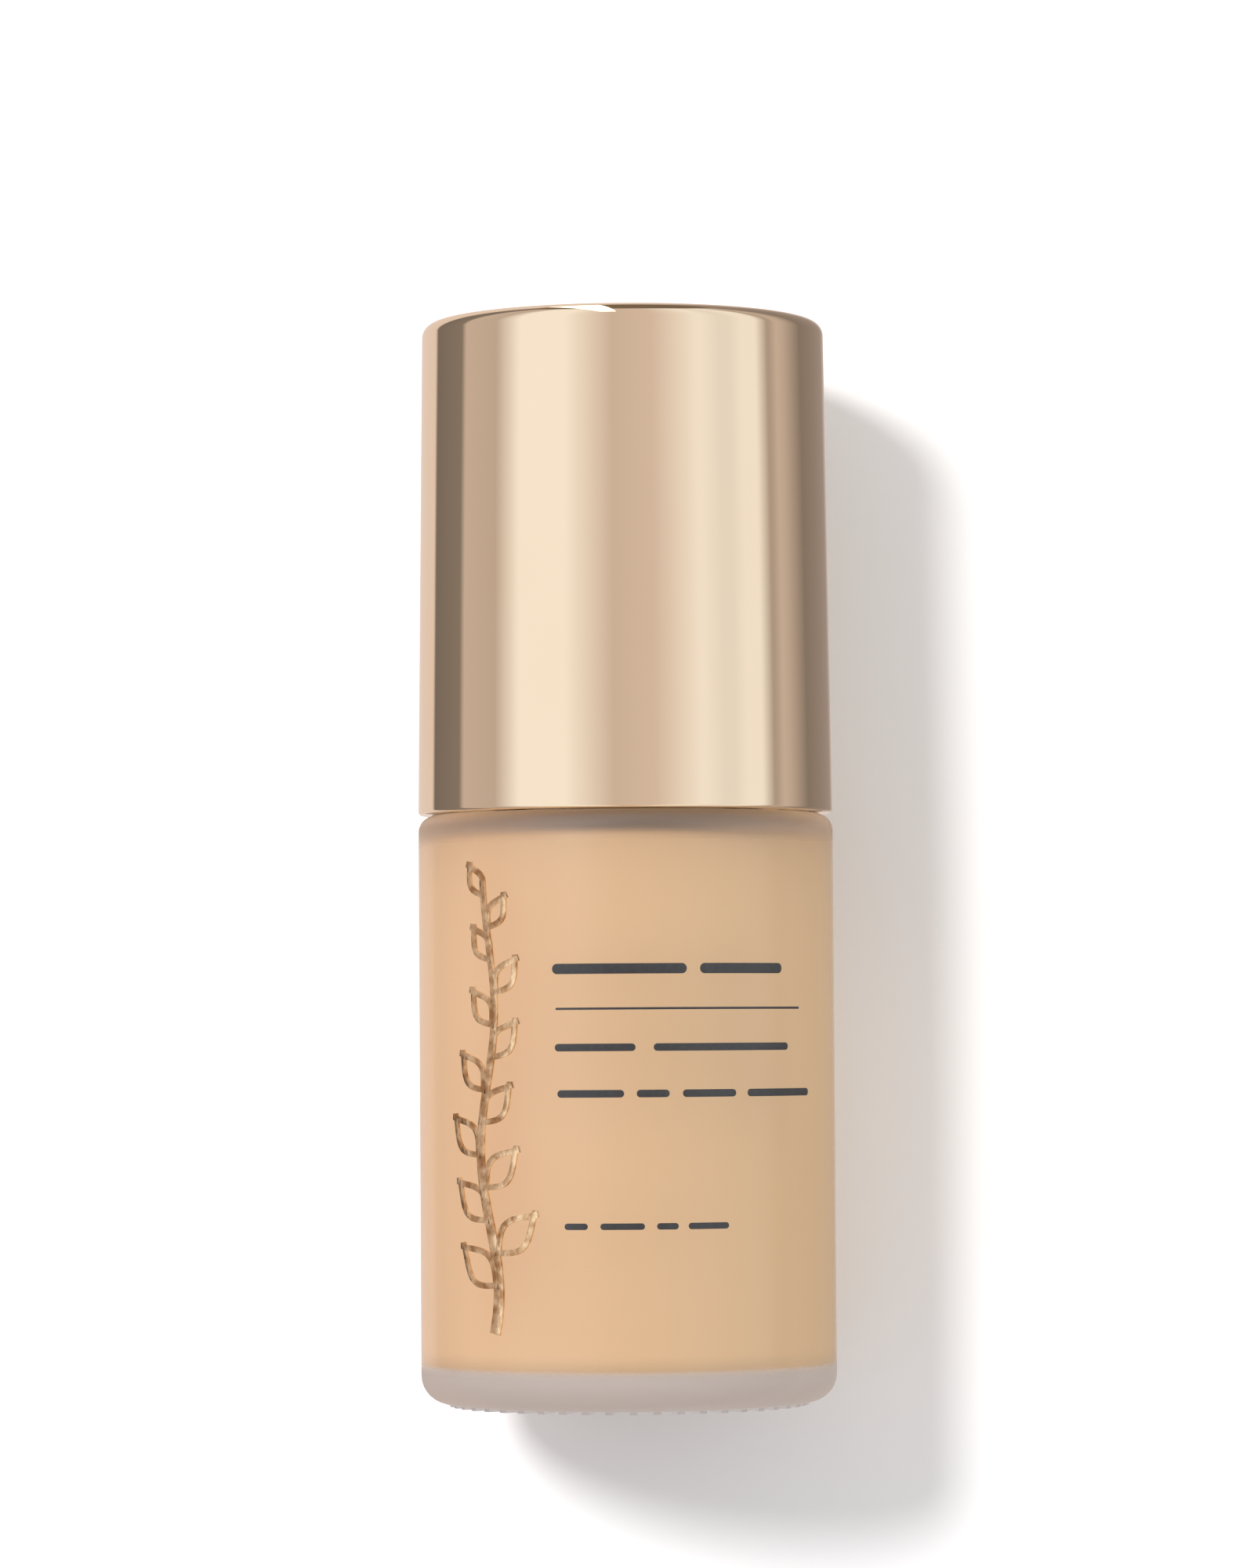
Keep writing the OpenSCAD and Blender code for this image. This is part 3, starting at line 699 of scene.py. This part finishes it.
# %% Anodised aluminium: a soft mirror with fine lines round it from polishing
anodised, tree = new_material("drawn_and_anodised_aluminium")
place = node(tree, "TexCoord").outputs["Object"]
squeezed = node(tree, "Mapping", {"Vector": place, "Scale": (0.02, 0.02, 1)}).outputs["Vector"]
lines = node(tree, "TexNoise", {
    "Vector": squeezed, "Scale": 1 / (0.15 * MM), "Detail": 2}).outputs["Fac"]
dye = node(tree, "MixRGB", {
    "Fac": lines, "Color1": linear("#DDBB8E"), "Color2": linear("#E8CBA2")})
polish = node(tree, "MapRange", {"Value": lines, "To Min": 0.12, "To Max": 0.24})
relief = node(tree, "Bump", {"Height": lines, "Distance": 0.003 * MM})
drawn = node(tree, "BsdfPrincipled", {
    "Base Color": dye.outputs["Color"], "Metallic": 1.0, "Roughness": polish.outputs["Result"],
    "Normal": relief.outputs["Normal"]})
node(tree, "OutputMaterial", {"Surface": drawn.outputs["BSDF"]})

# %% Collar
collar_low, collar_high = box_mm("collar_shell")
collar_r = collar_high.x
collar_hole_r = 6.45
sheet = 0.5
collar = turned([
    (collar_r, collar_low.z, 0.15), (collar_r, collar_high.z, 0.6),
    (collar_hole_r, collar_high.z, 0.12), (collar_hole_r, collar_high.z - sheet, 0.12),
    (collar_r - sheet, collar_high.z - sheet, 0.3), (collar_r - sheet, collar_low.z, 0.15)],
    closed=True)
piece("collar_sleeve", collar, anodised, "collar", "anodised_aluminium", "collar_shell")

# %% Moulded ABS: a glossy resin whose surface has the faint orange peel of its mould
abs_white, tree = new_material("injection_moulded_white_abs")
place = node(tree, "TexCoord").outputs["Object"]
peel = node(tree, "TexNoise", {
    "Vector": place, "Scale": 1 / (1.6 * MM), "Detail": 2}).outputs["Fac"]
white = node(tree, "MixRGB", {
    "Fac": peel, "Color1": linear("#EFEDE8"), "Color2": linear("#F4F2EE")})
gloss = node(tree, "MapRange", {"Value": peel, "To Min": 0.16, "To Max": 0.26})
relief = node(tree, "Bump", {"Height": peel, "Distance": 0.004 * MM})
resin = node(tree, "BsdfPrincipled", {
    "Base Color": white.outputs["Color"], "Roughness": gloss.outputs["Result"], "IOR": 1.53,
    "Normal": relief.outputs["Normal"]})
node(tree, "OutputMaterial", {"Surface": resin.outputs["BSDF"]})

# %% Actuator cover
cover_low, cover_high = box_mm("actuator_cover")
skirt_r, head_r = cover_high.x, cover_high.x - 0.4
dish, cover_wall = 0.7, 1.1
cover = turned([
    (0, cover_high.z - dish), (2.6, cover_high.z - dish, 2.0), (5.5, cover_high.z - 0.05, 0.5),
    (head_r, cover_high.z, 0.7), (skirt_r, cover_low.z, 0.3),
    (skirt_r - cover_wall, cover_low.z, 0.25),
    (head_r - cover_wall, cover_high.z - dish - cover_wall, 0.5),
    (0, cover_high.z - dish - cover_wall)])
piece("actuator_cap", cover, abs_white, "actuator", "white_abs", "actuator_cover")

# %% Spout
spout_low, spout_high = box_mm("spout")
spout_r, spout_bore_r, shank_r = spout_high.x, 0.9, 1.8
spout_tip, spout_root = -spout_low.y, -spout_high.y
nozzle = turned([
    (spout_bore_r, spout_root), (shank_r, spout_root), (shank_r, spout_root + 2.6),
    (spout_r, spout_root + 2.6, 0.2), (spout_r - 0.15, spout_tip, 0.45),
    (spout_bore_r, spout_tip, 0.25)], closed=True, steps=96)
bmesh.ops.rotate(nozzle, verts=nozzle.verts, matrix=Matrix.Rotation(radians(90), 3, "X"))
bmesh.ops.translate(nozzle, verts=nozzle.verts, vec=(0, 0, (spout_low.z + spout_high.z) / 2 * MM))
piece("spout_nozzle", nozzle, abs_white, "actuator", "white_abs", "spout")

# %% [markdown]
# ## Return spring
#
# A compression spring of stainless wire lifts the actuator after each stroke. A small circle is
# spun eight times with a rise. The spring stands on a ledge in the housing.

# %% Stainless wire: bright, with faint lines that the drawing die leaves along it
wire, tree = new_material("cold_drawn_stainless_wire")
place = node(tree, "TexCoord").outputs["Object"]
die_lines = node(tree, "TexNoise", {
    "Vector": place, "Scale": 1 / (0.3 * MM), "Detail": 2}).outputs["Fac"]
steel = node(tree, "MixRGB", {
    "Fac": die_lines, "Color1": linear("#C4C4C8"), "Color2": linear("#DCDCDE")})
drawn_sheen = node(tree, "MapRange", {"Value": die_lines, "To Min": 0.22, "To Max": 0.36})
bright = node(tree, "BsdfPrincipled", {
    "Base Color": steel.outputs["Color"], "Metallic": 1.0,
    "Roughness": drawn_sheen.outputs["Result"]})
node(tree, "OutputMaterial", {"Surface": bright.outputs["BSDF"]})

# %% Spring
spring_low, spring_high = box_mm("return_spring")
spring_turns, wire_r = 8, 0.25
coil_r = spring_high.x - wire_r
rise = spring_high.z - spring_low.z - 2 * wire_r
steps = 24 * spring_turns

spring = bmesh.new()
made = bmesh.ops.create_circle(spring, cap_ends=True, segments=10, radius=wire_r * MM)
bmesh.ops.rotate(spring, verts=made["verts"], matrix=Matrix.Rotation(radians(90), 3, "X"))
bmesh.ops.translate(
    spring, verts=made["verts"], vec=(coil_r * MM, 0, (spring_low.z + wire_r) * MM))
bmesh.ops.spin(
    spring, geom=spring.verts[:] + spring.edges[:] + spring.faces[:], cent=(0, 0, 0),
    axis=(0, 0, 1), angle=tau * spring_turns, steps=steps, dvec=(0, 0, rise / steps * MM))
bmesh.ops.recalc_face_normals(spring, faces=spring.faces)
coil = piece("spring_coil", spring, wire, "pump_module", "stainless_wire", "return_spring")
length = spring_high.z - spring_low.z
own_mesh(coil)

# %% [markdown]
# ## Plain moulded pieces
#
# The rest of the pump and the overcap's liner have the right shape already, so the CAD pieces
# stay and only get their finish. Polypropylene is white and satin. Polyethylene is left in its
# natural state and lets light through like wax. The seals are softer and quite matt.

# %% White polypropylene: satin, with a fine spark-eroded texture from its mould
polypropylene, tree = new_material("injection_moulded_white_polypropylene")
place = node(tree, "TexCoord").outputs["Object"]
spark = node(tree, "TexNoise", {
    "Vector": place, "Scale": 1 / (0.5 * MM), "Detail": 3}).outputs["Fac"]
white = node(tree, "MixRGB", {
    "Fac": spark, "Color1": linear("#E6E4DF"), "Color2": linear("#EFEDE9")})
satin = node(tree, "MapRange", {"Value": spark, "To Min": 0.38, "To Max": 0.52})
relief = node(tree, "Bump", {"Height": spark, "Distance": 0.004 * MM})
resin = node(tree, "BsdfPrincipled", {
    "Base Color": white.outputs["Color"], "Roughness": satin.outputs["Result"], "IOR": 1.49,
    "Subsurface Weight": 0.1, "Subsurface Scale": 1.0 * MM, "Normal": relief.outputs["Normal"]})
node(tree, "OutputMaterial", {"Surface": resin.outputs["BSDF"]})

# %% Natural polyethylene: waxy and cloudy, with faint flow marks a few millimetres long
polyethylene, tree = new_material("moulded_natural_polyethylene")
place = node(tree, "TexCoord").outputs["Object"]
flow = node(tree, "TexNoise", {"Vector": place, "Scale": 1 / (3 * MM), "Detail": 2}).outputs["Fac"]
wax = node(tree, "MixRGB", {
    "Fac": flow, "Color1": linear("#DCDEDC"), "Color2": linear("#E8EAE8")})
wax_sheen = node(tree, "MapRange", {"Value": flow, "To Min": 0.30, "To Max": 0.42})
resin = node(tree, "BsdfPrincipled", {
    "Base Color": wax.outputs["Color"], "Roughness": wax_sheen.outputs["Result"], "IOR": 1.52,
    "Transmission Weight": 0.35})
node(tree, "OutputMaterial", {"Surface": resin.outputs["BSDF"]})

# %% Seal polyethylene: foamed, so it is matt and finely pitted
seal_foam, tree = new_material("foamed_polyethylene_seal")
place = node(tree, "TexCoord").outputs["Object"]
cells = node(tree, "TexVoronoi", {"Vector": place, "Scale": 1 / (0.25 * MM)}).outputs["Distance"]
foam_tone = node(tree, "MixRGB", {
    "Fac": cells, "Color1": linear("#D8D7D2"), "Color2": linear("#E6E5E1")})
relief = node(tree, "Bump", {"Height": cells, "Distance": 0.02 * MM})
resin = node(tree, "BsdfPrincipled", {
    "Base Color": foam_tone.outputs["Color"], "Roughness": 0.7, "IOR": 1.5,
    "Normal": relief.outputs["Normal"]})
node(tree, "OutputMaterial", {"Surface": resin.outputs["BSDF"]})

# %% Ball steel: ground and lapped, so nearly a plain mirror
lapped, tree = new_material("lapped_stainless_ball")
place = node(tree, "TexCoord").outputs["Object"]
lap_marks = node(tree, "TexNoise", {
    "Vector": place, "Scale": 1 / (0.4 * MM), "Detail": 2}).outputs["Fac"]
lap_sheen = node(tree, "MapRange", {"Value": lap_marks, "To Min": 0.05, "To Max": 0.12})
steel = node(tree, "MixRGB", {
    "Fac": lap_marks, "Color1": linear("#CFD0D3"), "Color2": linear("#DADBDD")})
bright = node(tree, "BsdfPrincipled", {
    "Base Color": steel.outputs["Color"], "Metallic": 1.0,
    "Roughness": lap_sheen.outputs["Result"]})
node(tree, "OutputMaterial", {"Surface": bright.outputs["BSDF"]})

# %% Label film: thin white polypropylene with a satin coat, under the base
label_film, tree = new_material("satin_coated_label_film")
place = node(tree, "TexCoord").outputs["Object"]
coat_marks = node(tree, "TexNoise", {
    "Vector": place, "Scale": 1 / (1.2 * MM), "Detail": 2}).outputs["Fac"]
film_tone = node(tree, "MixRGB", {
    "Fac": coat_marks, "Color1": linear("#E6E1D8"), "Color2": linear("#EDE9E1")})
film_sheen = node(tree, "MapRange", {"Value": coat_marks, "To Min": 0.35, "To Max": 0.5})
film = node(tree, "BsdfPrincipled", {
    "Base Color": film_tone.outputs["Color"], "Roughness": film_sheen.outputs["Result"],
    "IOR": 1.5})
node(tree, "OutputMaterial", {"Surface": film.outputs["BSDF"]})

# %% Give the CAD pieces that stay their finish
FINISH = {
    "overcap_liner": polypropylene, "threaded_closure": polypropylene, "chaplet": polypropylene,
    "pump_stem": polypropylene, "actuator_core": polypropylene, "pump_housing": polypropylene,
    "piston_rod": polypropylene, "piston": polyethylene, "dip_tube": polyethylene,
    "chaplet_seal": polyethylene, "neck_gasket": seal_foam, "check_ball": lapped,
    "base_shade_label": label_film}
for name, material in FINISH.items():
    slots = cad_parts[name].material_slots
    for used in slots:
        used.material = material
    print(name, "is", material.name, "in", len(slots), "slot")
unfinished = [n for n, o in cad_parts.items() if not o.hide_render and n not in FINISH]
print("CAD pieces shown without a finish:", unfinished)

# %% [markdown]
# ## Print on the base label
#
# The label under the base names the shade on a real bottle. Here it has a round mark and plain
# bars, printed 0.02 mm thick on the film, and is read from below.

# %% Label print. A row is (height of its middle, thickness of the bar, from, to)
label_z = box_mm("base_shade_label")[0].z
swatch_r, swatch_y = 2.2, 0.9
print_thickness = 0.02
LABEL_ROWS = [(5.2, 1.1, -4.8, 4.8), (-3.4, 0.7, -6.0, 6.0), (-5.2, 0.7, -4.5, 4.5)]
marks = bmesh.new()
for height, thick, start, end in LABEL_ROWS:
    made = bmesh.ops.create_grid(marks, x_segments=4, y_segments=2, size=0.5)
    bmesh.ops.scale(marks, verts=made["verts"], vec=(end - start, thick, 1))
    bmesh.ops.translate(marks, verts=made["verts"], vec=((start + end) / 2, height, 0))
bmesh.ops.create_circle(
    marks, cap_ends=True, segments=48, radius=swatch_r, matrix=Matrix.Translation((0, swatch_y, 0)))
raised = bmesh.ops.extrude_face_region(marks, geom=marks.faces[:])
tops = [g for g in raised["geom"] if isinstance(g, bmesh.types.BMVert)]
bmesh.ops.translate(marks, verts=tops, vec=(0, 0, print_thickness))
bmesh.ops.recalc_face_normals(marks, faces=marks.faces)
bmesh.ops.rotate(marks, verts=marks.verts, matrix=Matrix.Rotation(radians(180), 3, "X"))
bmesh.ops.translate(marks, verts=marks.verts, vec=(0, 0, label_z))
bmesh.ops.scale(marks, verts=marks.verts, vec=(MM, MM, MM))
piece("label_print", marks, enamel, "bottle", "grey_ink")
